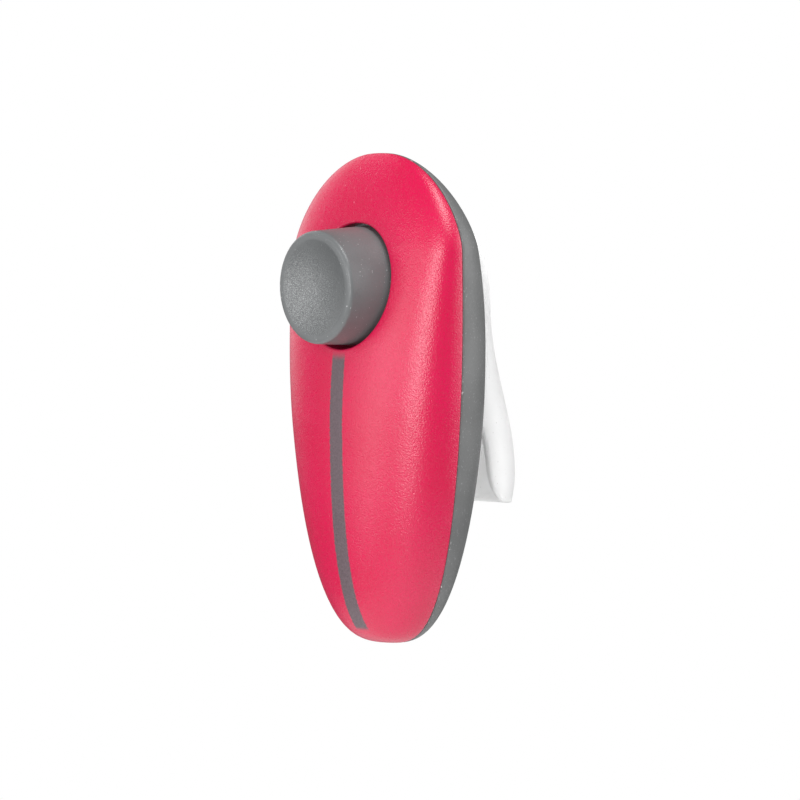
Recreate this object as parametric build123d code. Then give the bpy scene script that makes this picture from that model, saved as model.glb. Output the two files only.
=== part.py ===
from build123d import *
import os
from math import cos, pi, sin

# Finger-loop clicker for pet training, in millimetres.
# +Z runs up the long axis to the button end, the thumb button faces -Y, and the
# finger loop stands behind the body on +Y.  The origin is the middle of the body,
# on the seam between the front cover and the rear case.

# ---- driving dimensions --------------------------------------------------------

# Body: an egg in front view, described by three half-sizes that change with height.
BODY_HALF_LENGTH = 33.0
HALF_WIDTH = 16.6
FRONT_DEPTH = 9.3
REAR_DEPTH = 11.1
# Each bulge peaks at a height, and falls off with (power, root) above and below it.
WIDTH_SHAPE = (19.0, (1.5, 2.3), (2.4, 2.6))
FRONT_SHAPE = (-5.5, (1.6, 1.35), (2.4, 2.4))
REAR_SHAPE = (2.6, (2.4, 1.7), (1.5, 2.0))
FRONT_SQUARENESS = (2.0, 2.7)   # section exponent at the foot and at the button
REAR_SQUARENESS = 2.2
BODY_SECTIONS = 18
ARCH_STEPS = 6
WALL = 1.8
FRONT, REAR = -1, 1
BEYOND = 20.0           # far enough along Y to pass every surface of the body

# Thumb button, plunger and return spring, all on one axis along Y.
BUTTON_Z = 15.2
BUTTON_FACE_Y = -12.1
BUTTON_FACE_RADIUS = 7.57
BUTTON_SKIRT_RADIUS = 8.05
BUTTON_HOLE_RADIUS = 8.4
BUTTON_FLANGE_RADIUS = 8.9
BUTTON_FLANGE_Y = (-2.4, -1.7)      # 2.2 of travel before it would meet the frame
BUTTON_DISH_RADIUS = 6.3
BUTTON_DISH_DEPTH = 1.3
BUTTON_WALL = 1.4
BUTTON_RIM_FILLET = 0.65
BUTTON_CREST_FILLET = 0.35
GUIDE_COLLAR_RADIUS = 9.4
GUIDE_COLLAR_GAP = 0.05
PLUNGER_RADIUS = 2.5
PLUNGER_TIP_RADIUS = 1.6
PLUNGER_TIP_GAP = 0.1
PLUNGER_SOCKET_WALL = 0.9
PLUNGER_SOCKET_END_Y = -6.0
RUNNING_CLEARANCE = 0.05
SPRING_RADIUS = 5.0
SPRING_WIRE_RADIUS = 0.25
SPRING_TURNS = 5

# Mechanism frame: the plate that carries the plunger's bush and the click blade.
FRAME_Y = (0.6, 1.8)
FRAME_DISC_RADIUS = 9.6
FRAME_SPINE_HALF_WIDTH = 8.0
FRAME_FOOT_Z = -14.8
FRAME_SCREWS = [(11.0, 2.5), (9.8, -12.4)]      # (x, z), each mirrored
FRAME_PAD_RADIUS = 2.4
FRAME_PILOT_END_Y = -4.4
FRAME_SCREW_LENGTH = 5.5
BUSH_RADIUS = 3.6
BUSH_END_Y = -3.4
PEDESTAL_FRONT_Y = -2.0
DIMPLE_WINDOW = (3.6, 4.2)          # half-sizes along X and Z

# Click blade: a spring-steel strip, clamped at its foot, dimpled in the middle.
BLADE_Y = 2.7
BLADE_THICKNESS = 0.35
BLADE_HALF_WIDTH = 4.5
BLADE_Z = (-12.5, 18.5)
DIMPLE_Z = 1.0
DIMPLE_RADIUS = 2.8
DIMPLE_DEPTH = 0.55
CLAMP_Z = (-12.5, -5.0)
CLAMP_THICKNESS = 1.0
CLAMP_SCREW_X = 2.7
CLAMP_SCREW_LENGTH = 5.4

# Finger loop: a silicone collar whose two long edges pass through slots in the case.
LOOP_HALF_WIDTH = 9.0
LOOP_WALL = 1.0
# Height of a section, and how far behind the seam its arch is centred.
LOOP_SECTIONS = [(27, 7.5), (13, 7.5), (5, 7.9), (0, 9.2), (-7, 10.85), (-11, 11.1), (-15.5, 10.3)]
# Side view of the loop as (y, z): its lower edge at the front and its upper saddle.
LOOP_LOWER_EDGE = [(9.0, -3.4), (9.9, -5.2), (10.7, -9.2), (11.4, -12.1), (12.3, -13.4), (14.0, -14.3)]
LOOP_FOOT_Z = -14.5
LOOP_SHELF_Z = 4.4
LOOP_BACK_Y = 24.0
LOOP_SADDLE = [(17.6, 4.4), (14.9, 5.6), (13.5, 9.5), (12.2, 14.5), (9.8, 20.0), (6.8, 24.6)]
LOOP_INNER_Y = 3.0
LOOP_SLOT_Z = (-4.0, 15.0)
LOOP_NECK_END_Y = 9.4
LOOP_BEAD_Y = 5.4
LOOP_BEAD_RADIUS = 1.2
LOOP_ROD_RADIUS = 0.55
LOOP_ROD_CLEARANCE = 0.02
LOOP_ROD_OVERHANG = 0.5
SLOT_CLEARANCE = 0.1
CLAMP_BAR_Y = (3.1, 4.15)
CLAMP_BAR_X = (6.6, 10.6)
CLAMP_BAR_Z = (-9.5, 20.0)
CLAMP_BAR_SCREWS_Z = (-7.2, 17.6)
CLAMP_BAR_CORNER = 1.8
CLAMP_BAR_BOSS_RADIUS = 1.9
CLAMP_BAR_PILOT_DEPTH = 1.9
CLAMP_BAR_SCREW_LENGTH = 2.7

# Case screws: a short one under the top end, and two long ones low down.
TOP_SCREW_Z = 27.3
LOWER_SCREW = (5.2, -18.5)
BOSS_RADIUS = 2.1
POST_RADIUS = 2.5
BOSS_END_Y = 2.5
LOWER_SEAT_Y = 4.6
LOWER_PILOT_END_Y = -5.5
LOWER_SCREW_LENGTH = 9.0
TOP_SEAT_Y = 3.6
TOP_PILOT_END_Y = -0.6
TOP_SCREW_LENGTH = 4.0
FITTING_INSET = 0.6     # bosses and posts stop this far inside the outer surface

SCREW_RADIUS = 1.0
SCREW_HEAD_RADIUS = 1.8
SCREW_HEAD_HEIGHT = 1.1
THREAD_CLEARANCE = 0.02
HOLE_CLEARANCE = 0.12
RECESS_CLEARANCE = 0.2


# ---- helpers -------------------------------------------------------------------

def bulge(z, peak, shape):
    """Half-size at height z of a form that is widest at shape[0] and closes at both ends."""
    peak_z, above, below = shape
    power, root = above if z > peak_z else below
    end = BODY_HALF_LENGTH if z > peak_z else -BODY_HALF_LENGTH
    reach = min((z - peak_z) / (end - peak_z), 1.0)
    return peak * (1 - reach**power) ** (1 / root)


def arch(half_width, depth, squareness, z):
    """Half of a superellipse over the bulge at `depth` along Y, as two mirrored edges.

    Every arch has the same spline parameters, so that a loft through many stays light.
    """
    points = []
    for step in range(ARCH_STEPS + 1):
        angle = pi / 2 * step / ARCH_STEPS
        x = half_width * cos(angle) ** (2 / squareness) if step < ARCH_STEPS else 0
        points.append((x, depth * sin(angle) ** (2 / squareness), z))
    out = 1 if depth > 0 else -1
    steps = [step / ARCH_STEPS for step in range(ARCH_STEPS + 1)]
    right = Edge.make_spline(points, tangents=[(0, out, 0), (-1, 0, 0)], parameters=steps)
    return right, right.mirror(Plane.YZ)


def body_heights():
    """Section heights, closer together towards both ends."""
    steps = range(1, BODY_SECTIONS)
    return [BODY_HALF_LENGTH * sin(pi * (step / BODY_SECTIONS - 0.5)) for step in steps]


def front_squareness(z):
    """The front's section is round at the foot and squarer from the button up."""
    foot, button = FRONT_SQUARENESS
    rise = min((z + BODY_HALF_LENGTH) / (BUTTON_Z + BODY_HALF_LENGTH), 1.0)
    return foot + (button - foot) * rise


def half_egg(side, inset=0.0):
    """Half of the body's form, moved in by `inset`: side is -1 in front, +1 at the rear."""
    depth, shape = (FRONT_DEPTH, FRONT_SHAPE) if side < 0 else (REAR_DEPTH, REAR_SHAPE)
    shorten = 1 - inset / BODY_HALF_LENGTH
    sections = [Vertex(0, 0, -BODY_HALF_LENGTH * shorten)]
    for z in body_heights():
        half_width = bulge(z, HALF_WIDTH, WIDTH_SHAPE) * (1 - inset / HALF_WIDTH)
        half_depth = bulge(z, depth, shape) * (1 - inset / depth)
        squareness = front_squareness(z) if side < 0 else REAR_SQUARENESS
        right, left = arch(half_width, side * half_depth, squareness, z * shorten)
        seam = Edge.make_line((-half_width, 0, z * shorten), (half_width, 0, z * shorten))
        sections.append(Face(Wire([right, left, seam])))
    sections.append(Vertex(0, 0, BODY_HALF_LENGTH * shorten))
    return loft(sections)


def rod(x, z, radius, y_from, y_to):
    """A cylinder along Y."""
    length = y_to - y_from
    return Pos(x, (y_from + y_to) / 2, z) * Rot(90, 0, 0) * Cylinder(radius, length)


def block(x_range, y_range, z_range):
    """A box from its lowest to its highest corner."""
    sizes = [high - low for low, high in (x_range, y_range, z_range)]
    middles = [(low + high) / 2 for low, high in (x_range, y_range, z_range)]
    return Pos(*middles) * Box(*sizes)


def mirrored(part):
    """The part with its mirror image across the plane of symmetry."""
    return part + mirror(part, Plane.YZ)


def turned(outline, z):
    """A solid of revolution about the Y axis at height z, from (radius, y) points."""
    face = make_face(Polyline(*outline, close=True))
    return Pos(0, 0, z) * revolve(face, Axis.Y)


def screw(x, z, seat_y, length):
    """Pan-head screw whose head sits behind seat_y and whose shank runs towards -Y."""
    head = rod(x, z, SCREW_HEAD_RADIUS, seat_y, seat_y + SCREW_HEAD_HEIGHT)
    head = fillet(head.edges().sort_by(Axis.Y)[-1], SCREW_HEAD_HEIGHT * 0.5)
    shank = rod(x, z, SCREW_RADIUS, seat_y - length, seat_y)
    shank = chamfer(shank.edges().sort_by(Axis.Y)[0], SCREW_RADIUS * 0.5)
    slot_depth = SCREW_HEAD_HEIGHT * 0.6
    slot_y = seat_y + SCREW_HEAD_HEIGHT - slot_depth / 2
    arm = SCREW_HEAD_RADIUS * 1.2
    blade_width = SCREW_HEAD_RADIUS * 0.22
    cross = Pos(x, slot_y, z) * Box(arm, slot_depth, blade_width)
    cross += Pos(x, slot_y, z) * Box(blade_width, slot_depth, arm)
    return head + shank - cross


def screw_pair(x, z, seat_y, length):
    """Two screws, left and right of the plane of symmetry."""
    return [screw(side * x, z, seat_y, length) for side in (1, -1)]


def save(part, name):
    """Write one sub-part to its own STEP file."""
    part.label = name
    export_step(part, f"parts/{name}.step")


# ---- casing --------------------------------------------------------------------

def front_cover():
    shell = half_egg(FRONT) - half_egg(FRONT, WALL)
    limit = half_egg(FRONT, FITTING_INSET)
    low_x, low_z = LOWER_SCREW

    def boss(x, z, end_y):
        """A screw boss standing on the inside of the cover and running back to end_y."""
        return (rod(x, z, BOSS_RADIUS, -BEYOND, 0) & limit) + rod(x, z, BOSS_RADIUS, 0, end_y)

    collar_end_y = BUTTON_FLANGE_Y[0] - GUIDE_COLLAR_GAP
    fittings = rod(0, BUTTON_Z, GUIDE_COLLAR_RADIUS, -BEYOND, collar_end_y) & limit
    for x, z in FRAME_SCREWS:
        fittings += mirrored(boss(x, z, FRAME_Y[0]))
    fittings += mirrored(boss(low_x, low_z, BOSS_END_Y))
    fittings += boss(0, TOP_SCREW_Z, BOSS_END_Y)

    cover = shell + fittings
    cover -= rod(0, BUTTON_Z, BUTTON_HOLE_RADIUS, -BEYOND, 0)
    pilot = SCREW_RADIUS + THREAD_CLEARANCE
    for x, z in FRAME_SCREWS:
        cover -= mirrored(rod(x, z, pilot, FRAME_PILOT_END_Y, FRAME_Y[0]))
    cover -= mirrored(rod(low_x, low_z, pilot, LOWER_PILOT_END_Y, BOSS_END_Y))
    cover -= rod(0, TOP_SCREW_Z, pilot, TOP_PILOT_END_Y, BOSS_END_Y)
    return cover


def rear_case():
    shell = half_egg(REAR) - half_egg(REAR, WALL)
    limit = half_egg(REAR, FITTING_INSET)
    low_x, low_z = LOWER_SCREW
    bar_x = sum(CLAMP_BAR_X) / 2

    bar_back_y = CLAMP_BAR_Y[1]

    case = shell + (mirrored(rod(low_x, low_z, POST_RADIUS, BOSS_END_Y, BEYOND)) & limit)
    case += rod(0, TOP_SCREW_Z, POST_RADIUS, BOSS_END_Y, BEYOND) & limit
    for z in CLAMP_BAR_SCREWS_Z:
        case += mirrored(rod(bar_x, z, CLAMP_BAR_BOSS_RADIUS, bar_back_y, BEYOND)) & limit

    hole = SCREW_RADIUS + HOLE_CLEARANCE
    recess = SCREW_HEAD_RADIUS + RECESS_CLEARANCE
    case -= mirrored(rod(low_x, low_z, hole, 0, BEYOND))
    case -= mirrored(rod(low_x, low_z, recess, LOWER_SEAT_Y, BEYOND))
    case -= rod(0, TOP_SCREW_Z, hole, 0, BEYOND)
    case -= rod(0, TOP_SCREW_Z, recess, TOP_SEAT_Y, BEYOND)
    pilot = SCREW_RADIUS + THREAD_CLEARANCE
    for z in CLAMP_BAR_SCREWS_Z:
        case -= mirrored(rod(bar_x, z, pilot, bar_back_y, bar_back_y + CLAMP_BAR_PILOT_DEPTH))
    slot_x = (LOOP_HALF_WIDTH - LOOP_WALL - SLOT_CLEARANCE, LOOP_HALF_WIDTH + SLOT_CLEARANCE)
    slot_z = (LOOP_SLOT_Z[0] - SLOT_CLEARANCE, LOOP_SLOT_Z[1] + SLOT_CLEARANCE)
    case -= mirrored(block(slot_x, (LOOP_BEAD_Y, BEYOND), slot_z))
    return case


# ---- button group --------------------------------------------------------------

def button_cap():
    face_y = BUTTON_FACE_Y
    top_y = face_y + BUTTON_WALL + BUTTON_DISH_DEPTH
    flange_front, flange_back = BUTTON_FLANGE_Y
    bore = BUTTON_SKIRT_RADIUS - BUTTON_WALL
    body = turned(
        [
            (0, face_y),
            (BUTTON_FACE_RADIUS, face_y),
            (BUTTON_SKIRT_RADIUS, flange_front),
            (BUTTON_FLANGE_RADIUS, flange_front),
            (BUTTON_FLANGE_RADIUS, flange_back),
            (bore, flange_back),
            (bore, top_y),
            (0, top_y),
        ],
        BUTTON_Z,
    )
    rim = body.edges().filter_by(GeomType.CIRCLE).sort_by(Axis.Y)[0]
    body = fillet(rim, BUTTON_RIM_FILLET)
    # The dish is a shallow bowl cut by a sphere through the inner edge of the rim.
    sphere_radius = (BUTTON_DISH_RADIUS**2 + BUTTON_DISH_DEPTH**2) / (2 * BUTTON_DISH_DEPTH)
    bowl_y = face_y + BUTTON_DISH_DEPTH - sphere_radius
    body -= Pos(0, bowl_y, BUTTON_Z) * Sphere(sphere_radius)
    crest = [
        edge
        for edge in body.edges().filter_by(GeomType.CIRCLE)
        if abs(edge.radius - BUTTON_DISH_RADIUS) < 0.05
    ]
    body = fillet(crest, BUTTON_CREST_FILLET)
    socket_radius = PLUNGER_RADIUS + PLUNGER_SOCKET_WALL
    body += rod(0, BUTTON_Z, socket_radius, top_y - BUTTON_WALL / 4, PLUNGER_SOCKET_END_Y)
    body -= rod(0, BUTTON_Z, PLUNGER_RADIUS, top_y, PLUNGER_SOCKET_END_Y)
    return body


def plunger():
    top_y = BUTTON_FACE_Y + BUTTON_WALL + BUTTON_DISH_DEPTH
    tip_y = BLADE_Y - PLUNGER_TIP_GAP
    stem = rod(0, BUTTON_Z, PLUNGER_RADIUS, top_y, FRAME_Y[1])
    tip = rod(0, BUTTON_Z, PLUNGER_TIP_RADIUS, FRAME_Y[1], tip_y)
    tip = fillet(tip.edges().sort_by(Axis.Y)[-1], 0.4)
    return stem + tip


def return_spring():
    front_y = BUTTON_FACE_Y + BUTTON_WALL + BUTTON_DISH_DEPTH + SPRING_WIRE_RADIUS
    back_y = FRAME_Y[0] - SPRING_WIRE_RADIUS
    length = back_y - front_y
    coil = Helix(pitch=length / SPRING_TURNS, height=length, radius=SPRING_RADIUS)
    wire = sweep(Plane(origin=coil @ 0, z_dir=coil % 0) * Circle(SPRING_WIRE_RADIUS), path=coil)
    return Pos(0, back_y, BUTTON_Z) * Rot(90, 0, 0) * wire


# ---- click mechanism -----------------------------------------------------------

def mechanism_frame():
    plate = rod(0, BUTTON_Z, FRAME_DISC_RADIUS, *FRAME_Y)
    spine = (-FRAME_SPINE_HALF_WIDTH, FRAME_SPINE_HALF_WIDTH)
    plate += block(spine, FRAME_Y, (FRAME_FOOT_Z, BUTTON_Z))
    for x, z in FRAME_SCREWS:
        plate += block((-x, x), FRAME_Y, (z - FRAME_PAD_RADIUS, z + FRAME_PAD_RADIUS))
        plate += mirrored(rod(x, z, FRAME_PAD_RADIUS, *FRAME_Y))
    plate += rod(0, BUTTON_Z, BUSH_RADIUS, BUSH_END_Y, FRAME_Y[1])
    blade_x = (-BLADE_HALF_WIDTH, BLADE_HALF_WIDTH)
    plate += block(blade_x, (PEDESTAL_FRONT_Y, BLADE_Y), CLAMP_Z)
    plate -= rod(0, BUTTON_Z, PLUNGER_RADIUS + RUNNING_CLEARANCE, BUSH_END_Y, FRAME_Y[1])
    wide, high = DIMPLE_WINDOW
    plate -= block((-wide, wide), FRAME_Y, (DIMPLE_Z - high, DIMPLE_Z + high))
    for x, z in FRAME_SCREWS:
        plate -= mirrored(rod(x, z, SCREW_RADIUS + HOLE_CLEARANCE, *FRAME_Y))
    clamp_z = sum(CLAMP_Z) / 2
    pilot = SCREW_RADIUS + THREAD_CLEARANCE
    plate -= mirrored(rod(CLAMP_SCREW_X, clamp_z, pilot, PEDESTAL_FRONT_Y, BLADE_Y))
    return plate


def click_blade():
    back_y = BLADE_Y + BLADE_THICKNESS
    blade_x = (-BLADE_HALF_WIDTH, BLADE_HALF_WIDTH)
    strip = block(blade_x, (BLADE_Y, back_y), BLADE_Z)
    strip = fillet(strip.edges().filter_by(Axis.Y), 1.5)
    # The dimple is a spherical cap pressed out towards the button.
    outer_radius = (DIMPLE_RADIUS**2 + DIMPLE_DEPTH**2) / (2 * DIMPLE_DEPTH)
    centre_y = BLADE_Y - DIMPLE_DEPTH + outer_radius
    cap = Pos(0, centre_y, DIMPLE_Z) * Sphere(outer_radius)
    hollow = Pos(0, centre_y, DIMPLE_Z) * Sphere(outer_radius - BLADE_THICKNESS)
    near_side = block(blade_x, (BLADE_Y - 2, back_y), (DIMPLE_Z - 5, DIMPLE_Z + 5))
    strip = strip + (cap & near_side) - hollow
    clamp_z = sum(CLAMP_Z) / 2
    hole = SCREW_RADIUS + HOLE_CLEARANCE
    return strip - mirrored(rod(CLAMP_SCREW_X, clamp_z, hole, BLADE_Y - 1, back_y + 1))


def blade_clamp():
    front_y = BLADE_Y + BLADE_THICKNESS
    blade_x = (-BLADE_HALF_WIDTH, BLADE_HALF_WIDTH)
    bar = block(blade_x, (front_y, front_y + CLAMP_THICKNESS), CLAMP_Z)
    bar = fillet(bar.edges().filter_by(Axis.Y), 1.0)
    clamp_z = sum(CLAMP_Z) / 2
    hole = SCREW_RADIUS + HOLE_CLEARANCE
    return bar - mirrored(rod(CLAMP_SCREW_X, clamp_z, hole, front_y, front_y + CLAMP_THICKNESS))


# ---- finger loop ---------------------------------------------------------------

def loop_arch(half_width):
    """The space under the loop's arch out to half_width, as a loft up the body."""
    sections = []
    for z, centre_y in LOOP_SECTIONS:
        legs_start = (half_width, 0, z)
        legs_end = (-half_width, 0, z)
        right = (half_width, centre_y, z)
        left = (-half_width, centre_y, z)
        crown = (0, centre_y + half_width, z)
        outline = [
            Edge.make_line(legs_start, right),
            Edge.make_three_point_arc(right, crown, left),
            Edge.make_line(left, legs_end),
            Edge.make_line(legs_end, legs_start),
        ]
        sections.append(Face(Wire(outline)))
    return loft(sections)


def loop_side_profile():
    """Side view of the loop: steep lower edge, level foot and a long saddle at the top."""
    with BuildSketch(Plane.YZ) as profile:
        with BuildLine():
            lower = Spline(*LOOP_LOWER_EDGE)
            foot = Line(lower @ 1, (LOOP_BACK_Y, LOOP_FOOT_Z))
            back = Line(foot @ 1, (LOOP_BACK_Y, LOOP_SHELF_Z))
            shelf = Line(back @ 1, LOOP_SADDLE[0])
            saddle = Spline(*LOOP_SADDLE)
            top = Line(saddle @ 1, (LOOP_INNER_Y, LOOP_SADDLE[-1][1]))
            inside = Line(top @ 1, (LOOP_INNER_Y, LOOP_LOWER_EDGE[0][1]))
            Line(inside @ 1, lower @ 0)
        make_face()
    return extrude(profile.sketch, LOOP_HALF_WIDTH + 1, both=True)


def finger_loop():
    collar = loop_arch(LOOP_HALF_WIDTH) - loop_arch(LOOP_HALF_WIDTH - LOOP_WALL)
    collar &= loop_side_profile()
    collar -= half_egg(REAR)
    leg_x = (LOOP_HALF_WIDTH - LOOP_WALL, LOOP_HALF_WIDTH)
    neck = block(leg_x, (LOOP_BEAD_Y, LOOP_NECK_END_Y), LOOP_SLOT_Z)
    bead_x = LOOP_HALF_WIDTH - LOOP_WALL / 2
    slot_length = LOOP_SLOT_Z[1] - LOOP_SLOT_Z[0]
    middle_z = sum(LOOP_SLOT_Z) / 2
    bead = Pos(bead_x, LOOP_BEAD_Y, middle_z) * Cylinder(LOOP_BEAD_RADIUS, slot_length)
    bore_radius = LOOP_ROD_RADIUS + LOOP_ROD_CLEARANCE
    bore = Pos(bead_x, LOOP_BEAD_Y, middle_z) * Cylinder(bore_radius, slot_length)
    return collar + mirrored(neck) + mirrored(bead) - mirrored(bore)


def loop_rods():
    bead_x = LOOP_HALF_WIDTH - LOOP_WALL / 2
    length = LOOP_SLOT_Z[1] - LOOP_SLOT_Z[0] + 2 * LOOP_ROD_OVERHANG
    pin = Pos(bead_x, LOOP_BEAD_Y, sum(LOOP_SLOT_Z) / 2) * Cylinder(LOOP_ROD_RADIUS, length)
    return mirrored(pin)


def loop_clamp_bars():
    bar = block(CLAMP_BAR_X, CLAMP_BAR_Y, CLAMP_BAR_Z)
    bar = fillet(bar.edges().filter_by(Axis.Y), CLAMP_BAR_CORNER)
    bar_x = sum(CLAMP_BAR_X) / 2
    for z in CLAMP_BAR_SCREWS_Z:
        bar -= rod(bar_x, z, SCREW_RADIUS + HOLE_CLEARANCE, *CLAMP_BAR_Y)
    return mirrored(bar)


# ---- fasteners -----------------------------------------------------------------

def frame_screws():
    group = []
    for x, z in FRAME_SCREWS:
        group += screw_pair(x, z, FRAME_Y[1], FRAME_SCREW_LENGTH)
    return Compound(children=group)


def blade_clamp_screws():
    seat_y = BLADE_Y + BLADE_THICKNESS + CLAMP_THICKNESS
    clamp_z = sum(CLAMP_Z) / 2
    return Compound(children=screw_pair(CLAMP_SCREW_X, clamp_z, seat_y, CLAMP_SCREW_LENGTH))


def lower_case_screws():
    x, z = LOWER_SCREW
    return Compound(children=screw_pair(x, z, LOWER_SEAT_Y, LOWER_SCREW_LENGTH))


def top_case_screw():
    return screw(0, TOP_SCREW_Z, TOP_SEAT_Y, TOP_SCREW_LENGTH)


def loop_clamp_screws():
    bar_x = sum(CLAMP_BAR_X) / 2
    turned_over = Rot(0, 0, 180)
    group = []
    for z in CLAMP_BAR_SCREWS_Z:
        for fastener in screw_pair(bar_x, z, -CLAMP_BAR_Y[0], CLAMP_BAR_SCREW_LENGTH):
            group.append(turned_over * fastener)
    return Compound(children=group)


# ---- assembly ------------------------------------------------------------------

SUB_PARTS = [
    front_cover,
    rear_case,
    button_cap,
    plunger,
    return_spring,
    mechanism_frame,
    click_blade,
    blade_clamp,
    finger_loop,
    loop_rods,
    loop_clamp_bars,
    frame_screws,
    blade_clamp_screws,
    loop_clamp_screws,
    lower_case_screws,
    top_case_screw,
]

os.makedirs("parts", exist_ok=True)
for sub_part in SUB_PARTS:
    save(sub_part(), sub_part.__name__)
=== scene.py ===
from math import atan2, copysign, cos, degrees, pi, radians, sin, sqrt, tau

import bmesh
import bpy
import numpy as np
from mathutils import Matrix, Vector

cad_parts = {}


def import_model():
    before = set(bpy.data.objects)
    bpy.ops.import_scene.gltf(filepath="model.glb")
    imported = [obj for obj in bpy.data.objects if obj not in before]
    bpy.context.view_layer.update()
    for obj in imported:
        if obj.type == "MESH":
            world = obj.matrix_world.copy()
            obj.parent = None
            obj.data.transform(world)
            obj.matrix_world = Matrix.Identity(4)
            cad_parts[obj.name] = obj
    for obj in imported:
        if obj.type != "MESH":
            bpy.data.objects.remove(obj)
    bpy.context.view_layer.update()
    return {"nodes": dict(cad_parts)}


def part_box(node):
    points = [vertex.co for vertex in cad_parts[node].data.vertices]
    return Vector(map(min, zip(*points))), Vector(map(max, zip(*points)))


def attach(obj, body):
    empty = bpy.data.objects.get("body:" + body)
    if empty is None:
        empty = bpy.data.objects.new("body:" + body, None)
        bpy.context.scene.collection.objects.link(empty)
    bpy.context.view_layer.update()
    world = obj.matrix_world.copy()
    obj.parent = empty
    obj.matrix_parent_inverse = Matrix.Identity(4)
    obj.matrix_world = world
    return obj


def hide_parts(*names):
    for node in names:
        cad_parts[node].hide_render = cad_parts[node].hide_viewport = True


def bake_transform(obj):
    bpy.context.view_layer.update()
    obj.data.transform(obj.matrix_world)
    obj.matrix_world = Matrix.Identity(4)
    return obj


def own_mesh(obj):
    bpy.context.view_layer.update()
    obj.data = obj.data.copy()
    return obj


# A finger-loop clicker for pet training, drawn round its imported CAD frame.
# Sizes below are in millimetres, and meshes are in metres.

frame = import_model()
nodes = frame["nodes"]
MM = 0.001

# ---- the body's form -------------------------------------------------------------

HALF_LENGTH = 33.0
HALF_WIDTH = 16.4
# Each form peaks at a height and falls off with (power, root) above and below it.
WIDTH_FORM = (HALF_WIDTH, 19.5, (1.53, 2.12), (1.92, 3.08))
FRONT_FORM = (8.73, -5.6, (1.67, 1.41), (2.5, 2.73))
REAR_FORM = (11.3, 2.6, (2.52, 1.21), (1.49, 2.3))
SOFT_PEAK = 0.04        # rounds off the sharp turn that powers under two have at the peak
FRONT_SQUARENESS = (2.0, 2.7)
REAR_SQUARENESS = (2.0, 2.0)
WALL = 1.8
SEAM_RADIUS = 0.28
SEAM_GAP = 0.03
BUTTON_Z = 15.2
HOLE_RADIUS = 8.4
HOLE_EDGE = 0.3
COLLAR_RADIUS = 9.4
COLLAR_END_Y = 2.45
# How finely the two halves are drawn: rays round the seam, rings between a half's middle and
# its seam, and steps in each small rounded edge.
RAYS, RINGS, ROUND_STEPS = 320, 72, 6
OUTLINE_HALVINGS, SHOULDER_HALVINGS = 48, 40
SMOOTH_ANGLE = 35       # edges that turn by more degrees than this stay sharp


def falloff(z, form):
    """Size of a form at heights z, an array."""
    peak, peak_z, above, below = form
    end = np.where(z > peak_z, HALF_LENGTH, -HALF_LENGTH)
    power = np.where(z > peak_z, above[0], below[0])
    root = np.where(z > peak_z, above[1], below[1])
    reach = np.clip((z - peak_z) / (end - peak_z), 0, 1)
    reach = (np.sqrt(reach**2 + SOFT_PEAK**2) - SOFT_PEAK) / (sqrt(1 + SOFT_PEAK**2) - SOFT_PEAK)
    return peak * np.maximum(1 - reach**power, 0) ** (1 / root)


def on_rays(reach, centre_z, angles):
    """The x and z of points that far along the rays from (0, centre_z)."""
    return reach * np.sin(angles), centre_z + reach * np.cos(angles)


class Half:
    """One half of the body: depth behind or in front of the seam as a function of x and z."""

    def __init__(self, form, squareness, inset):
        self.form = form
        self.squareness = squareness
        self.shorten = 1 - inset / HALF_LENGTH
        self.narrow = 1 - inset / HALF_WIDTH
        self.thin = 1 - inset / form[0]

    def half_width(self, z):
        return falloff(z / self.shorten, WIDTH_FORM) * self.narrow

    def depth(self, x, z):
        level = z / self.shorten
        foot, button = self.squareness
        rise = np.clip((level + HALF_LENGTH) / (BUTTON_Z + HALF_LENGTH), 0, 1)
        exponent = foot + (button - foot) * rise
        across = np.clip(np.abs(x) / np.maximum(self.half_width(z), 1e-9), 0, 1)
        deepest = falloff(level, self.form) * self.thin
        return deepest * np.maximum(1 - across**exponent, 0) ** (1 / exponent)

    def reach(self, centre_z, angles):
        """How far rays from (0, centre_z) run before they meet the outline."""
        low = np.zeros_like(angles)
        high = np.full_like(angles, 3 * HALF_LENGTH)
        for _ in range(OUTLINE_HALVINGS):
            middle = (low + high) / 2
            x, z = on_rays(middle, centre_z, angles)
            inside = (np.abs(z) < HALF_LENGTH * self.shorten) & (np.abs(x) < self.half_width(z))
            low, high = np.where(inside, middle, low), np.where(inside, high, middle)
        return low

    def reach_at(self, depth, centre_z, angles, outline):
        """Where the rays cross the given small depth, just inside the outline."""
        low, high = outline * 0.7, outline.copy()
        for _ in range(SHOULDER_HALVINGS):
            middle = (low + high) / 2
            x, z = on_rays(middle, centre_z, angles)
            deeper = self.depth(x, z) > depth
            low, high = np.where(deeper, middle, low), np.where(deeper, high, middle)
        return low


def shell_rings(form, squareness, centre_z, first, inner_first, angles):
    """Outer rings from radius `first` to the rounded seam edge, then inner rings back in."""
    outer = Half(form, squareness, 0)
    inner = Half(form, squareness, WALL)
    outline = outer.reach(centre_z, angles)
    shoulder = outer.reach_at(SEAM_RADIUS, centre_z, angles, outline)
    rings = []
    for step in range(RINGS + 1):
        reach = first + (shoulder - first) * sin(pi / 2 * step / RINGS)
        x, z = on_rays(reach, centre_z, angles)
        rings.append((reach, outer.depth(x, z)))
    for step in range(1, ROUND_STEPS + 1):
        turn = pi / 2 * step / ROUND_STEPS
        depth = SEAM_RADIUS * (1 - sin(turn))
        last = step == ROUND_STEPS
        reach = outline if last else outer.reach_at(depth, centre_z, angles, outline)
        rings.append((reach - SEAM_RADIUS * (1 - cos(turn)), np.full_like(reach, depth)))
    inner_outline = inner.reach(centre_z, angles)
    for step in range(RINGS + 1):
        reach = inner_first + (inner_outline - inner_first) * sin(pi / 2 * (1 - step / RINGS))
        x, z = on_rays(reach, centre_z, angles)
        rings.append((reach, inner.depth(x, z)))
    return rings


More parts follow.
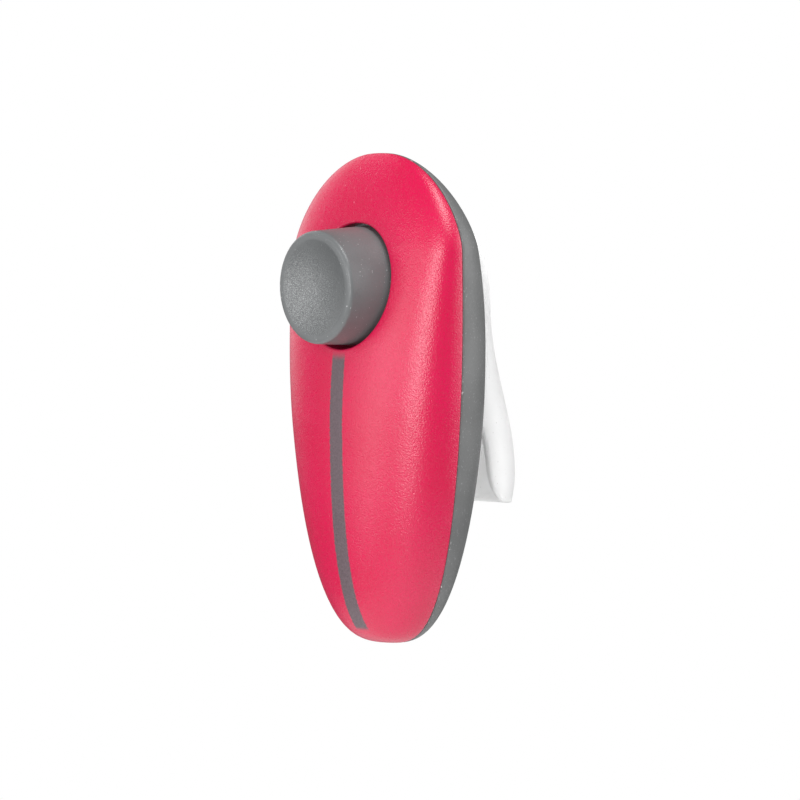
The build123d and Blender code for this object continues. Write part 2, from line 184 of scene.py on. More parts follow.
def ring_mesh(name, rings, centre_z, angles, side, closed):
    """A mesh from rings of (reach, depth): closed like a tyre, or capped at both ends."""
    count = len(angles)
    points = []
    for reach, depth in rings:
        x, z = on_rays(reach, centre_z, angles)
        y = side * (depth + SEAM_GAP / 2)
        points.append(np.stack([x, y, z], 1))
    vertices = [tuple(p) for p in np.concatenate(points) * MM]
    faces = []
    total = len(rings)
    for ring in range(total if closed else total - 1):
        after = (ring + 1) % total
        for k in range(count):
            n = (k + 1) % count
            quad = (ring * count + k, ring * count + n, after * count + n, after * count + k)
            faces.append(quad if side < 0 else quad[::-1])
    if not closed:
        for ring in (0, total - 1):
            middle = np.mean(points[ring], 0) * MM
            vertices.append(tuple(middle))
            for k in range(count):
                n = (k + 1) % count
                fan = (ring * count + k, ring * count + n, len(vertices) - 1)
                faces.append(fan)
    return mesh_piece(name, vertices, faces)


def mesh_piece(name, vertices, faces):
    """An object with consistent outward normals, smooth except where it turns sharply."""
    mesh = bpy.data.meshes.new(name)
    mesh.from_pydata(vertices, [], faces)
    piece = bpy.data.objects.new(name, mesh)
    bpy.context.scene.collection.objects.link(piece)
    finish_mesh(mesh)
    return piece


def finish_mesh(mesh, sharp=SMOOTH_ANGLE):
    """Merge doubled points, turn the faces outwards, and shade smooth up to `sharp` degrees."""
    work = bmesh.new()
    work.from_mesh(mesh)
    bmesh.ops.remove_doubles(work, verts=work.verts, dist=1e-7)
    bmesh.ops.recalc_face_normals(work, faces=work.faces)
    work.to_mesh(mesh)
    work.free()
    mesh.shade_smooth()
    mesh.set_sharp_from_angle(angle=radians(sharp))
    mesh.update()


def lathe(name, outline, centre, segments):
    """A solid turned about Y through `centre` (x, z) from (radius, y) points, all in mm."""
    vertices, faces, rows = [], [], []
    for radius, y in outline:
        if radius < 1e-6:
            rows.append([len(vertices)])
            vertices.append((centre[0] * MM, y * MM, centre[1] * MM))
            continue
        row = []
        for k in range(segments):
            turn = tau * k / segments
            row.append(len(vertices))
            vertices.append((
                (centre[0] + radius * sin(turn)) * MM,
                y * MM,
                (centre[1] + radius * cos(turn)) * MM,
            ))
        rows.append(row)
    for a, b in zip(rows, rows[1:]):
        for k in range(segments):
            n = (k + 1) % segments
            if len(a) == 1 and len(b) > 1:
                faces.append((a[0], b[k], b[n]))
            elif len(b) == 1 and len(a) > 1:
                faces.append((a[k], a[n], b[0]))
            elif len(a) > 1 and len(b) > 1:
                faces.append((a[k], a[n], b[n], b[k]))
    return mesh_piece(name, vertices, faces)


def arc(centre, radius, start, end, steps):
    """Points round part of a circle, angles in degrees from the first axis."""
    points = []
    for step in range(steps + 1):
        turn = radians(start + (end - start) * step / steps)
        points.append((centre[0] + radius * cos(turn), centre[1] + radius * sin(turn)))
    return points


def combine(piece, others, operation):
    """Boolean `others` into piece, and drop them."""
    for other in others:
        change = piece.modifiers.new("change", "BOOLEAN")
        change.operation = operation
        change.solver = "MANIFOLD"
        change.object = other
        bpy.context.view_layer.update()
        bake_modifiers(piece)
        bpy.data.objects.remove(other)


def bake_modifiers(piece):
    """Make the modifiers' result the piece's own mesh."""
    graph = bpy.context.evaluated_depsgraph_get()
    result = bpy.data.meshes.new_from_object(piece.evaluated_get(graph))
    piece.modifiers.clear()
    piece.data = result


# ---- casing ----------------------------------------------------------------------

def front_cover():
    """The pink half: rings round the button hole, with its rounded rim and inner collar."""
    angles = np.linspace(0, tau, RAYS, endpoint=False)
    edge = HOLE_RADIUS + HOLE_EDGE
    rings = shell_rings(FRONT_FORM, FRONT_SQUARENESS, BUTTON_Z, edge, COLLAR_RADIUS, angles)
    shoulder = rings[0][1]
    rim = []
    for step in range(ROUND_STEPS, 0, -1):
        turn = pi / 2 * step / ROUND_STEPS
        reach = np.full_like(angles, edge - HOLE_EDGE * sin(turn))
        rim.append((reach, shoulder - HOLE_EDGE * (1 - cos(turn))))
    collar = [
        (np.full_like(angles, COLLAR_RADIUS), np.full_like(angles, COLLAR_END_Y)),
        (np.full_like(angles, HOLE_RADIUS), np.full_like(angles, COLLAR_END_Y)),
    ]
    rings += collar + rim
    piece = ring_mesh("cover_shell", rings, BUTTON_Z, angles, side=-1, closed=True)
    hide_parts("front_cover")
    return piece


REAR_CENTRE_Z, REAR_FIRST_RADIUS = 3.0, 0.3
SLOT_X, SLOT_Z = (7.9, 9.1), (-4.1, 15.1)
SLOT_CUT_Y, SLOT_ROUND = (5, 21), 0.55
LOWER_SCREW, TOP_SCREW = (5.2, -18.5), (0.0, 27.3)
LOWER_SEAT_Y, TOP_SEAT_Y, POST_END_Y = 4.6, 3.6, 2.5
RECESS_RADIUS, SCREW_HOLE_RADIUS, POST_RADIUS = 2.0, 1.12, 2.5
POST_INSET = 0.5        # the posts' outer ends stop this far inside the case's outer surface
PAST_CASE_Y = 20        # behind the case at every height


def plug(x, z, radius, y_from, y_to):
    """A cylinder along Y, for posts and holes."""
    outline = [(0, y_from), (radius, y_from), (radius, y_to), (0, y_to)]
    return lathe("plug", outline, (x, z), 64)


def slot_cutter(side):
    """A block with rounded corners that cuts the loop's slot on one side."""
    work = bmesh.new()
    bmesh.ops.create_cube(work, size=1)
    spans = [high - low for low, high in (SLOT_X, SLOT_CUT_Y, SLOT_Z)]
    size = Vector(spans) * MM
    bmesh.ops.scale(work, vec=size, verts=work.verts)
    corners = [e for e in work.edges if abs(e.verts[0].co.y - e.verts[1].co.y) > MM]
    bmesh.ops.bevel(work, geom=corners, offset=SLOT_ROUND * MM, segments=6, affect="EDGES")
    middle = Vector((side * sum(SLOT_X) / 2, sum(SLOT_CUT_Y) / 2, sum(SLOT_Z) / 2)) * MM
    bmesh.ops.translate(work, vec=middle, verts=work.verts)
    mesh = bpy.data.meshes.new("slot")
    work.to_mesh(mesh)
    work.free()
    cutter = bpy.data.objects.new("slot", mesh)
    bpy.context.scene.collection.objects.link(cutter)
    return cutter


def rear_case():
    """The grey half, with its screw posts, screw holes and recesses, and the loop's slots."""
    angles = np.linspace(0, tau, RAYS, endpoint=False)
    first = REAR_FIRST_RADIUS
    rings = shell_rings(REAR_FORM, REAR_SQUARENESS, REAR_CENTRE_Z, first, first, angles)
    piece = ring_mesh("case_shell", rings, REAR_CENTRE_Z, angles, side=1, closed=False)
    seats = [(side * LOWER_SCREW[0], LOWER_SCREW[1], LOWER_SEAT_Y) for side in (1, -1)]
    seats.append((*TOP_SCREW, TOP_SEAT_Y))
    skin = Half(REAR_FORM, REAR_SQUARENESS, POST_INSET)
    posts = []
    for x, z, _ in seats:
        # The edge farthest from the case's middle is where the case is shallowest.
        edge_z = z + copysign(POST_RADIUS, z)
        outer_y = float(skin.depth(np.array([x]), np.array([edge_z]))[0])
        posts.append(plug(x, z, POST_RADIUS, POST_END_Y, outer_y))
    combine(piece, posts, "UNION")
    cuts = [plug(x, z, SCREW_HOLE_RADIUS, 0, PAST_CASE_Y) for x, z, _ in seats]
    cuts += [plug(x, z, RECESS_RADIUS, seat, PAST_CASE_Y) for x, z, seat in seats]
    cuts += [slot_cutter(1), slot_cutter(-1)]
    combine(piece, cuts, "DIFFERENCE")
    finish_mesh(piece.data)
    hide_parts("rear_case")
    return piece


# ---- button ----------------------------------------------------------------------

FACE_Y = -12.1
FACE_RADIUS, SKIRT_RADIUS = 7.57, 8.05
CREST_ROUND, RIM_ROUND = 0.3, 0.6
DISH_RADIUS, DISH_DEPTH, DISH_STEPS = 6.35, 1.3, 32
FLANGE_RADIUS, FLANGE_Y = 8.9, (-2.4, -1.7)
BORE_RADIUS, ROOF_Y = 6.65, -9.4
SOCKET_RADIUS, SOCKET_END_Y = 3.4, -6.0
PLUNGER_RADIUS = 2.5
BUTTON_SEGMENTS = 160


def button_cap():
    """The dished button, hollow behind, with a stop flange and the plunger's socket."""
    # The dish ends in a small round, then comes a narrow land and a rounded outer corner.
    slope = 2 * atan2(DISH_DEPTH, DISH_RADIUS)
    bowl = DISH_RADIUS / sin(slope)
    crest_centre = (DISH_RADIUS + CREST_ROUND * sin(slope), FACE_Y + CREST_ROUND)
    sink = CREST_ROUND * (1 - cos(slope))
    bottom = FACE_Y + sink + bowl * (1 - cos(slope))
    outline = []
    for step in range(DISH_STEPS):
        radius = DISH_RADIUS * step / DISH_STEPS
        outline.append((radius, bottom - (bowl - sqrt(bowl**2 - radius**2))))
    outline += arc(crest_centre, CREST_ROUND, -90 - degrees(slope), -90, 8)
    outline += arc((FACE_RADIUS - RIM_ROUND, FACE_Y + RIM_ROUND), RIM_ROUND, -90, 0, 14)
    outline += [
        (SKIRT_RADIUS, FLANGE_Y[0]),
        (FLANGE_RADIUS, FLANGE_Y[0]),
        (FLANGE_RADIUS, FLANGE_Y[1]),
        (BORE_RADIUS, FLANGE_Y[1]),
        (BORE_RADIUS, ROOF_Y),
        (SOCKET_RADIUS, ROOF_Y),
        (SOCKET_RADIUS, SOCKET_END_Y),
        (PLUNGER_RADIUS, SOCKET_END_Y),
        (PLUNGER_RADIUS, ROOF_Y),
        (0, ROOF_Y),
    ]
    piece = lathe("thumb_button", outline, (0, BUTTON_Z), BUTTON_SEGMENTS)
    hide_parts("button_cap")
    return piece


# ---- finger loop -----------------------------------------------------------------

LOOP_VOXEL = 0.16
LOOP_SMOOTH_ANGLE = 80
# The foot hangs lower at its back and its back corner curls in. Each change grows from a
# start over a span, once downwards (along -Z) and once backwards (along +Y).
DROOP, DROOP_DOWN, DROOP_BACK = 0.6, (9.0, 5.0), (12.0, 6.0)
CURL, CURL_DOWN, CURL_BACK = 1.3, (11.0, 3.5), (15.0, 4.0)


def grown(value, start, span):
    """How far a value has got past its start: 0 before it, 1 beyond the span."""
    return min(max((value - start) / span, 0), 1)


def droop_foot(mesh):
    """Lower the loop's foot towards its back, and curl its back corner in."""
    for vertex in mesh.vertices:
        y, z = vertex.co.y / MM, vertex.co.z / MM
        low = grown(-z, *DROOP_DOWN)
        far = grown(y, *DROOP_BACK)
        corner = grown(-z, *CURL_DOWN) * grown(y, *CURL_BACK)
        vertex.co.z -= DROOP * MM * low * far
        vertex.co.y -= CURL * MM * corner**2


def finger_loop():
    """The CAD loop with its edges rounded over, and its foot drooping a little."""
    mesh = nodes["finger_loop"].data.copy()
    piece = bpy.data.objects.new("silicone_loop", mesh)
    bpy.context.scene.collection.objects.link(piece)
    remesh = piece.modifiers.new("remesh", "REMESH")
    remesh.mode = "VOXEL"
    remesh.voxel_size = LOOP_VOXEL * MM
    smooth = piece.modifiers.new("smooth", "SMOOTH")
    smooth.factor = 0.5
    smooth.iterations = 8
    bpy.context.view_layer.update()
    bake_modifiers(piece)
    droop_foot(piece.data)
    finish_mesh(piece.data, LOOP_SMOOTH_ANGLE)
    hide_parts("finger_loop")
    return piece


# ---- springs ---------------------------------------------------------------------

SPRING_WIRE, SPRING_RADIUS, SPRING_TURNS = 0.25, 5.0, 5
SPRING_STEPS, WIRE_SIDES = 48, 10       # steps in each turn, and sides of the wire
END_CLOSING = 0.35                      # how flat the end turns lie


def return_spring():
    """A compression spring as long as the CAD one."""
    low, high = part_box("return_spring")
    wire, radius, turns = SPRING_WIRE, SPRING_RADIUS, SPRING_TURNS
    front, back = low.y / MM + wire, high.y / MM - wire
    vertices, faces = [], []
    steps, sides = turns * SPRING_STEPS, WIRE_SIDES
    for step in range(steps + 1):
        share = step / steps
        # The end turns lie closed and flat, as a compression spring's do.
        eased = share - sin(2 * tau * share) / (2 * tau) * END_CLOSING
        turn = tau * turns * share
        y = front + (back - front) * eased
        centre = Vector((radius * sin(turn), y, BUTTON_Z + radius * cos(turn)))
        outward = Vector((sin(turn), 0, cos(turn)))
        for k in range(sides):
            angle = tau * k / sides
            point = centre + outward * wire * cos(angle) + Vector((0, wire * sin(angle), 0))
            vertices.append(tuple(point * MM))
    for step in range(steps):
        base, after = step * sides, (step + 1) * sides
        for k in range(sides):
            n = (k + 1) % sides
            faces.append((base + k, base + n, after + n, after + k))
    faces.append(tuple(range(sides)))
    faces.append(tuple(range(steps * sides, (steps + 1) * sides)))
    piece = mesh_piece("button_spring", vertices, faces)
    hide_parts("return_spring")
    return piece


BLADE_Y, BLADE_THICKNESS, BLADE_HALF_WIDTH = 2.7, 0.35, 4.5
BLADE_Z = (-12.5, 18.5)
BLADE_CORNER = 1.5
BLADE_CELLS = (36, 124)         # across and along
DIMPLE_Z, DIMPLE_RADIUS, DIMPLE_DEPTH, DIMPLE_POWER = 1.0, 2.8, 0.55, 1.3
CLAMP_SCREW, CLAMP_CUT_Y = (2.7, -8.75), (2, 4)


def click_blade():
    """A thin strip with rounded corners, a pressed dimple and two screw holes."""
    middle_z, half_z = sum(BLADE_Z) / 2, (BLADE_Z[1] - BLADE_Z[0]) / 2
    across, along = BLADE_CELLS
    vertices, faces = [], []
    for face_y in (0, 1):
        for j in range(along + 1):
            for i in range(across + 1):
                x = BLADE_HALF_WIDTH * (2 * i / across - 1)
                z = middle_z + half_z * (2 * j / along - 1)
                over_x = max(abs(x) - (BLADE_HALF_WIDTH - BLADE_CORNER), 0)
                over_z = max(abs(z - middle_z) - (half_z - BLADE_CORNER), 0)
                if over_x > 0 and over_z > 0:
                    # Squares become discs in the corners.
                    bulge = max(over_x, over_z) / sqrt(over_x**2 + over_z**2)
                    x = copysign(abs(x) - over_x + over_x * bulge, x)
                    off_z = z - middle_z
                    z = middle_z + copysign(abs(off_z) - over_z + over_z * bulge, off_z)
                away = min(sqrt(x**2 + (z - DIMPLE_Z) ** 2) / DIMPLE_RADIUS, 1)
                press = DIMPLE_DEPTH * (1 - away**2) ** DIMPLE_POWER
                y = BLADE_Y - press + face_y * BLADE_THICKNESS
                vertices.append((x * MM, y * MM, z * MM))
    row, sheet = across + 1, (across + 1) * (along + 1)
    for j in range(along):
        for i in range(across):
            quad = (j * row + i, j * row + i + 1, (j + 1) * row + i + 1, (j + 1) * row + i)
            faces.append(quad)
            faces.append(tuple(v + sheet for v in reversed(quad)))
    rim = list(range(row))
    rim += [j * row + across for j in range(1, along + 1)]
    rim += [along * row + i for i in range(across - 1, -1, -1)]
    rim += [j * row for j in range(along - 1, 0, -1)]
    for a, b in zip(rim, rim[1:] + rim[:1]):
        faces.append((a, b, b + sheet, a + sheet))
    piece = mesh_piece("spring_blade", vertices, faces)
    screw_x, screw_z = CLAMP_SCREW
    cuts = [plug(x, screw_z, SCREW_HOLE_RADIUS, *CLAMP_CUT_Y) for x in (screw_x, -screw_x)]
    combine(piece, cuts, "DIFFERENCE")
    finish_mesh(piece.data)
    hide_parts("click_blade")
    return piece


# ---- materials -------------------------------------------------------------------

class Look:
    """A node material round one Principled shader, with short ways to make its textures."""

    def __init__(self, name):
        self.material = bpy.data.materials.new(name)
        self.material.use_nodes = True
        self.tree = self.material.node_tree
        self.shader = self.tree.nodes["Principled BSDF"]
        self.place = self.tree.nodes.new("ShaderNodeTexCoord").outputs["Object"]

    def node(self, kind, **inputs):
        made = self.tree.nodes.new(kind)
        for key, value in inputs.items():
            self.feed(made.inputs[key.replace("_", " ")], value)
        return made

    def feed(self, socket, value):
        if isinstance(value, bpy.types.NodeSocket):
            self.tree.links.new(value, socket)
        else:
            socket.default_value = value

    def noise(self, size_mm, detail=2.0, roughness=0.5, stretch=None, shift=0.0):
        """Noise whose features are about size_mm across."""
        place = self.place
        if stretch or shift:
            mapping = self.tree.nodes.new("ShaderNodeMapping")
            self.feed(mapping.inputs["Vector"], self.place)
            mapping.inputs["Scale"].default_value = stretch or (1, 1, 1)
            mapping.inputs["Location"].default_value = (shift, shift, shift)
            place = mapping.outputs["Vector"]
        made = self.node("ShaderNodeTexNoise", Vector=place, Scale=1 / (size_mm * MM))
        made.inputs["Detail"].default_value = detail
        made.inputs["Roughness"].default_value = roughness
        return made.outputs["Fac"]

    def ramp(self, value, low, high, to_low=0.0, to_high=1.0):
        """A smooth step from to_low to to_high as the value goes from low to high."""
        made = self.tree.nodes.new("ShaderNodeMapRange")
        made.interpolation_type = "SMOOTHSTEP"
        self.feed(made.inputs["Value"], value)
        made.inputs["From Min"].default_value = low
        made.inputs["From Max"].default_value = high
        made.inputs["To Min"].default_value = to_low
        made.inputs["To Max"].default_value = to_high
        return made.outputs["Result"]

    def math(self, operation, a, b=0.0):
        made = self.tree.nodes.new("ShaderNodeMath")
        made.operation = operation
        self.feed(made.inputs[0], a)
        self.feed(made.inputs[1], b)
        return made.outputs[0]

    def mix(self, share, a, b):
        """Colour a, with a share of colour b."""
        made = self.tree.nodes.new("ShaderNodeMix")
        made.data_type = "RGBA"
        # Sockets 6 and 7 in, and 2 out, are the ones for colours.
        self.feed(made.inputs[0], share)
        self.feed(made.inputs[6], a)
        self.feed(made.inputs[7], b)
        return made.outputs[2]

    def axes(self):
        """The position's x, y and z, in metres."""
        split = self.node("ShaderNodeSeparateXYZ", Vector=self.place)
        return split.outputs["X"], split.outputs["Y"], split.outputs["Z"]

    def near(self, x, y, z, inner_mm, outer_mm):
        """One inside a ball round a point, falling to nothing outside it."""
        made = self.tree.nodes.new("ShaderNodeVectorMath")
        made.operation = "DISTANCE"
        self.feed(made.inputs[0], self.place)
        made.inputs[1].default_value = (x * MM, y * MM, z * MM)
        return self.ramp(made.outputs["Value"], inner_mm * MM, outer_mm * MM, 1.0, 0.0)

    def bump(self, height, strength, depth_mm):
        made = self.tree.nodes.new("ShaderNodeBump")
        made.inputs["Strength"].default_value = strength
        made.inputs["Distance"].default_value = depth_mm * MM
        self.feed(made.inputs["Height"], height)
        return made.outputs["Normal"]

    def surface(self, **sockets):
        """Set the shader's sockets, named with _ for spaces, and give back the material."""
        for key, value in sockets.items():
            self.feed(self.shader.inputs[key.replace("_", " ")], value)
        return self.material


def rgb(red, green, blue):
    """A linear colour from 0-255 display values."""
    linear = []
    for level in (red / 255, green / 255, blue / 255):
        linear.append(level / 12.92 if level <= 0.04045 else ((level + 0.055) / 1.055) ** 2.4)
    return (*linear, 1.0)


def seam_scuffs(look, shift):
    """Small pale nicks along the seam edge. The shift puts them elsewhere on each half."""
    _, y, _ = look.axes()
    edge = look.ramp(look.math("ABSOLUTE", y), 0.05 * MM, 0.4 * MM, 1.0, 0.0)
    nicks = look.ramp(look.noise(0.5, 3.0, 0.7, shift=shift), 0.6, 0.68)
    patches = look.ramp(look.noise(6.0, 1.0, shift=shift * 2), 0.48, 0.62)
    return look.math("MULTIPLY", look.math("MULTIPLY", edge, nicks), patches)


def cover_plastic():
    """Satin pink with a fine grain, a few scratches at the top, and the printed stripe."""
    look = Look("cover_plastic")
    x, _, z = look.axes()
    tone = look.mix(look.ramp(look.noise(9.0), 0.3, 0.7), rgb(198, 2, 66), rgb(202, 3, 72))
    speck = look.ramp(look.noise(0.2, 2.0), 0.6, 0.72, 0.0, 0.3)
    tone = look.mix(speck, tone, rgb(226, 60, 108))
    grain = look.noise(0.2, 1.0, 0.6)
    tone = look.mix(look.ramp(grain, 0.38, 0.62, 0.0, 0.5), tone, rgb(180, 1, 54))
    scratches = look.ramp(look.noise(0.35, 2.0, stretch=(1, 1, 0.14)), 0.66, 0.72, 0.0, 0.22)
    worn = look.math("MULTIPLY", scratches, look.near(-1.0, -3.5, 29.0, 1.5, 6.0))
    tone = look.mix(worn, tone, rgb(245, 190, 205))
    # The printed stripe down the ridge has slightly ragged edges and a faded upper end.
    ragged = look.math("MULTIPLY", look.ramp(look.noise(0.22, 2.0), 0.3, 0.7, -1.0, 1.0), 0.07 * MM)
    off_ridge = look.math("ADD", look.math("ABSOLUTE", x), ragged)
    stripe = look.ramp(off_ridge, 1.22 * MM, 1.36 * MM, 1.0, 0.0)
    upper = look.ramp(look.math("ADD", z, ragged), 5.2 * MM, 6.8 * MM, 1.0, 0.0)
    lower = look.ramp(look.math("ADD", z, ragged), -31.2 * MM, -30.6 * MM)
    stripe = look.math("MULTIPLY", look.math("MULTIPLY", stripe, upper), lower)
    ink = look.mix(look.ramp(look.noise(0.3, 3.0, 0.7), 0.35, 0.65), rgb(78, 71, 76), rgb(94, 84, 90))
    tone = look.mix(look.math("MULTIPLY", stripe, 0.97), tone, ink)
    tone = look.mix(seam_scuffs(look, 1), tone, rgb(240, 205, 214))
    sheen = look.ramp(grain, 0.3, 0.7, 0.27, 0.37)
    rough = look.math("ADD", sheen, look.math("MULTIPLY", stripe, 0.14))
    normal = look.bump(grain, 1.0, 0.05)
    return look.surface(Base_Color=tone, Roughness=rough, Normal=normal, IOR=1.6)


def grey_plastic(name, low, high, grain_mm, rough, depth_mm, scuffed=False):
    look = Look(name)
    tone = look.mix(look.ramp(look.noise(7.0, 3.0), 0.3, 0.7), rgb(*low), rgb(*high))
    speck = look.ramp(look.noise(grain_mm, 1.0, shift=0.5), 0.66, 0.74, 0.0, 0.3)
    tone = look.mix(speck, tone, rgb(176, 177, 178))
    if scuffed:
        tone = look.mix(seam_scuffs(look, 3), tone, rgb(205, 203, 204))
    grain = look.noise(grain_mm, 1.0, 0.6)
    sheen = look.ramp(grain, 0.3, 0.7, rough - 0.06, rough + 0.06)
    return look.surface(
        Base_Color=tone, Roughness=sheen, Normal=look.bump(grain, 0.5, depth_mm), IOR=1.46
    )


def button_rubber():
    """Satin grey, with painted shade in the dish, and pale specks there kept to a lit patch as painted
    glints.
    """
    look = Look("button_rubber")
    tone = look.mix(look.ramp(look.noise(7.0, 3.0), 0.3, 0.7), rgb(100, 102, 103), rgb(108, 110, 111))
    dish = look.near(0, FACE_Y - 1.4, BUTTON_Z, 6.2, 6.9)
    # Painted shade: the hollow of the dish is darkened halfway towards a deeper grey.
    tone = look.mix(look.math("MULTIPLY", dish, 0.5), tone, rgb(76, 78, 79))
    specks_and_painted_glints = look.ramp(look.noise(0.12, 1.0), 0.42, 0.68, 0.0, 0.42)
    # Painted highlight: the pale specks show only in a lit patch low in the dish, as glints there.
    lit = look.near(-3.5, FACE_Y, BUTTON_Z - 2.5, 2.0, 11.0)
    specks_and_painted_glints = look.math("MULTIPLY", look.math("MULTIPLY", specks_and_painted_glints, dish), lit)
    tone = look.mix(specks_and_painted_glints, tone, rgb(190, 192, 192))
    dust = look.ramp(look.noise(0.3, 1.0, shift=0.5), 0.73, 0.78, 0.0, 0.5)
    tone = look.mix(dust, tone, rgb(205, 205, 205))
    grain = look.noise(0.24, 1.0, 0.6)
    sheen = look.ramp(grain, 0.3, 0.7, 0.32, 0.42)
    return look.surface(Base_Color=tone, Roughness=sheen, Normal=look.bump(grain, 0.8, 0.04), IOR=1.5)


def silicone():
    """Milky and slightly see-through, with a little dust on it and painted shade at its foot and back.
    """
    look = Look("silicone")
    milk = look.mix(look.ramp(look.noise(5.0, 2.0), 0.3, 0.7), rgb(245, 247, 246), rgb(251, 252, 251))
    dust = look.ramp(look.noise(0.35, 1.0), 0.73, 0.77, 0.0, 0.5)
    milk = look.mix(dust, milk, rgb(188, 186, 180))
    # Painted shade: the wall is darkened at its foot and at its back.
    _, y, z = look.axes()
    back = look.ramp(y, 22.0 * MM, 23.6 * MM)
    foot = look.ramp(z, -14.6 * MM, -13.4 * MM, 1.0, 0.0)
    # Painted shade at the foot and the back, darkening the milk towards a duller white.
    painted_edge_shade = look.math("MAXIMUM", back, foot)
    milk = look.mix(look.math("MULTIPLY", painted_edge_shade, 0.55), milk, rgb(205, 207, 203))
    grain = look.noise(0.6, 3.0, 0.55)
    sheen = look.ramp(grain, 0.3, 0.7, 0.3, 0.42)
    return look.surface(
        Base_Color=milk,
        Roughness=sheen,
        Normal=look.bump(grain, 0.3, 0.02),
        IOR=1.41,
        Subsurface_Weight=1.0,
        Subsurface_Radius=(1.0, 1.0, 1.0),
        Subsurface_Scale=5.0 * MM,
    )


def acetal():
    """Off-white, with fine turning marks round the pin."""
    look = Look("acetal")
    tone = look.mix(look.ramp(look.noise(3.0, 2.0), 0.3, 0.7), rgb(226, 226, 220), rgb(238, 238, 233))
    turned = look.noise(0.12, 2.0, stretch=(0.1, 6.0, 0.1))
    rough = look.ramp(turned, 0.3, 0.7, 0.3, 0.42)
    return look.surface(Base_Color=tone, Roughness=rough, Normal=look.bump(turned, 0.25, 0.01), IOR=1.48)


def steel(name, low, high, brushed, rough):
    """Steel with fine lines along one axis, given as stretch factors, and a few dull spots."""
    look = Look(name)
    lines = look.noise(0.15, 3.0, 0.6, stretch=brushed)
    tone = look.mix(look.ramp(lines, 0.3, 0.7), rgb(*low), rgb(*high))
    dull = look.ramp(look.noise(1.5, 3.0, 0.6, shift=0.3), 0.58, 0.7, 0.0, 0.5)
    tone = look.mix(dull, tone, rgb(120, 116, 110))
    along_lines = look.ramp(lines, 0.3, 0.7, rough - 0.06, rough + 0.06)
    sheen = look.math("ADD", along_lines, look.math("MULTIPLY", dull, 0.2))
    return look.surface(
        Base_Color=tone, Roughness=sheen, Metallic=1.0, Normal=look.bump(lines, 0.3, 0.008)
    )


def give(piece, material):
    """One material for the whole piece."""
    piece.data.materials.clear()
    piece.data.materials.append(material)


def give_node(name, material):
    """One material for a CAD node that keeps its shape."""
    node = nodes[name]
    if not node.material_slots:
        node.data.materials.append(material)
    for holder in node.material_slots:
        holder.material = material


# ---- the object ------------------------------------------------------------------

cover = front_cover()
give(cover, cover_plastic())
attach(cover, "body")

case = rear_case()
case_look = grey_plastic("case_plastic", (97, 98, 98), (105, 106, 106), 0.3, 0.48, 0.03, True)
give(case, case_look)
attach(case, "body")

button = button_cap()
button_look = button_rubber()
give(button, button_look)
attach(button, "button")

loop = finger_loop()
give(loop, silicone())
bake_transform(loop)

spring = return_spring()
give(spring, steel("spring_wire", (168, 166, 160), (205, 204, 200), (1, 1, 1), 0.26))
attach(spring, "body")
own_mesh(spring)

blade = click_blade()
give(blade, steel("spring_steel", (150, 152, 158), (196, 198, 204), (1, 1, 0.08), 0.24))
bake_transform(blade)

give_node("plunger", acetal())
give_node("mechanism_frame", grey_plastic("frame_plastic", (38, 39, 41), (50, 51, 54), 0.2, 0.45, 0.012))
clamp_look = steel("clamp_steel", (160, 160, 158), (200, 200, 198), (0.1, 1, 1), 0.32)
give_node("blade_clamp", clamp_look)
give_node("loop_clamp_bars", clamp_look)
give_node("loop_rods", steel("rod_steel", (170, 171, 173), (210, 211, 213), (1, 1, 0.06), 0.2))
screw_look = steel("screw_steel", (150, 146, 138), (198, 195, 188), (1, 1, 1), 0.3)
for name in nodes:
    if name.endswith(("_screws", "_screw")):
        give_node(name, screw_look)

# ---- studio ----------------------------------------------------------------------

FLOOR_Z = -140.0
FLOOR_RADIUS = 240.0
FLOOR_SIDES = 64


def floor():
    vertices = []
    for k in range(FLOOR_SIDES):
        turn = tau * k / FLOOR_SIDES
        x, y = FLOOR_RADIUS * cos(turn) * MM, FLOOR_RADIUS * sin(turn) * MM
        vertices.append((x, y, FLOOR_Z * MM))
    piece = mesh_piece("floor", vertices, [tuple(range(FLOOR_SIDES))])
    look = Look("floor")
    tone = look.mix(look.ramp(look.noise(60.0), 0.3, 0.7), rgb(240, 240, 240), rgb(246, 246, 246))
    give(piece, look.surface(Base_Color=tone, Roughness=0.7))


def around(azimuth, elevation, distance_mm):
    """A point that far from the origin, seen at an azimuth and elevation in degrees."""
    level = cos(radians(elevation))
    return Vector((
        sin(radians(azimuth)) * level,
        -cos(radians(azimuth)) * level,
        sin(radians(elevation)),
    )) * distance_mm * MM


def softbox(name, azimuth, elevation, distance_mm, size_mm, power):
    """A rectangular light that faces the origin."""
    light = bpy.data.lights.new(name, "AREA")
    light.shape = "RECTANGLE"
    light.size, light.size_y = size_mm[0] * MM, size_mm[1] * MM
    light.energy = power
    holder = bpy.data.objects.new(name, light)
    bpy.context.scene.collection.objects.link(holder)
    holder.location = around(azimuth, elevation, distance_mm)
    holder.rotation_euler = (-holder.location).to_track_quat("-Z", "Y").to_euler()


SURROUND_LEVEL = 0.45       # what the surround gives to plain surfaces
REFLECTED_LEVEL = 0.12      # what is seen of it in reflections


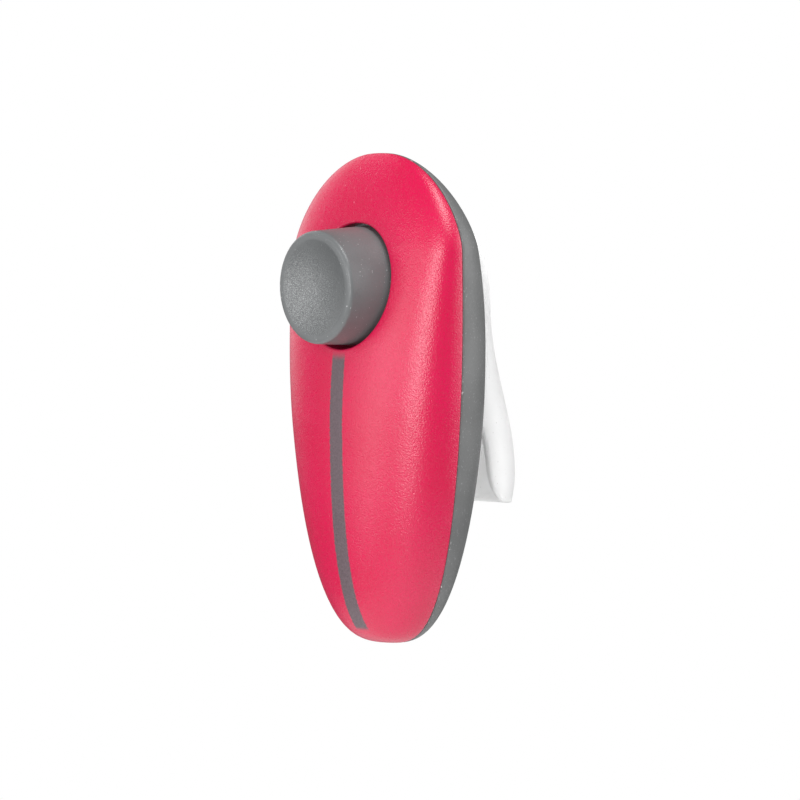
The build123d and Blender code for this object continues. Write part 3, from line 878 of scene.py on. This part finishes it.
def world():
    """A white surround that the camera sees, and a dimmer one that lights the object."""
    surround = bpy.data.worlds.new("studio")
    bpy.context.scene.world = surround
    surround.use_nodes = True
    tree = surround.node_tree
    seen = tree.nodes["Background"]
    seen.inputs["Color"].default_value = (1, 1, 1, 1)
    seen.inputs["Strength"].default_value = 1.0
    lighting = tree.nodes.new("ShaderNodeBackground")
    lighting.inputs["Color"].default_value = (1, 1, 1, 1)
    path = tree.nodes.new("ShaderNodeLightPath")
    mirrored = tree.nodes.new("ShaderNodeMath")
    mirrored.operation = "MULTIPLY_ADD"
    tree.links.new(path.outputs["Is Glossy Ray"], mirrored.inputs[0])
    mirrored.inputs[1].default_value = REFLECTED_LEVEL - SURROUND_LEVEL
    mirrored.inputs[2].default_value = SURROUND_LEVEL
    tree.links.new(mirrored.outputs[0], lighting.inputs["Strength"])
    choose = tree.nodes.new("ShaderNodeMixShader")
    tree.links.new(path.outputs["Is Camera Ray"], choose.inputs[0])
    tree.links.new(lighting.outputs[0], choose.inputs[1])
    tree.links.new(seen.outputs[0], choose.inputs[2])
    tree.links.new(choose.outputs[0], tree.nodes["World Output"].inputs["Surface"])


CAMERA_AZIMUTH, CAMERA_ELEVATION, CAMERA_ROLL = 49.7, 2.8, -0.93
CAMERA_DISTANCE = 744.5
LENS = 248.9
SHIFT = (14.8 / 800, -2.3 / 800)      # the body's middle sits a little left of the frame's


def camera():
    data = bpy.data.cameras.new("camera")
    data.lens, data.sensor_width = LENS, 36.0
    data.shift_x, data.shift_y = SHIFT
    data.clip_start = 0.01
    holder = bpy.data.objects.new("camera", data)
    bpy.context.scene.collection.objects.link(holder)
    spot = around(CAMERA_AZIMUTH, CAMERA_ELEVATION, CAMERA_DISTANCE)
    facing = (-spot).to_track_quat("-Z", "Y").to_matrix().to_4x4()
    roll = Matrix.Rotation(radians(CAMERA_ROLL), 4, "Z")
    holder.matrix_world = Matrix.Translation(spot) @ facing @ roll
    bpy.context.scene.camera = holder


world()
floor()
softbox("key", 24, 6, 500, (230, 300), 1.6)
softbox("front", -22, 4, 500, (300, 320), 0.8)
softbox("left", -95, 20, 500, (300, 400), 0.5)
softbox("over", 85, 66, 450, (260, 260), 1.5)
softbox("back", 145, 12, 500, (400, 400), 1.4)
camera()
bpy.context.scene.view_settings.view_transform = "Standard"
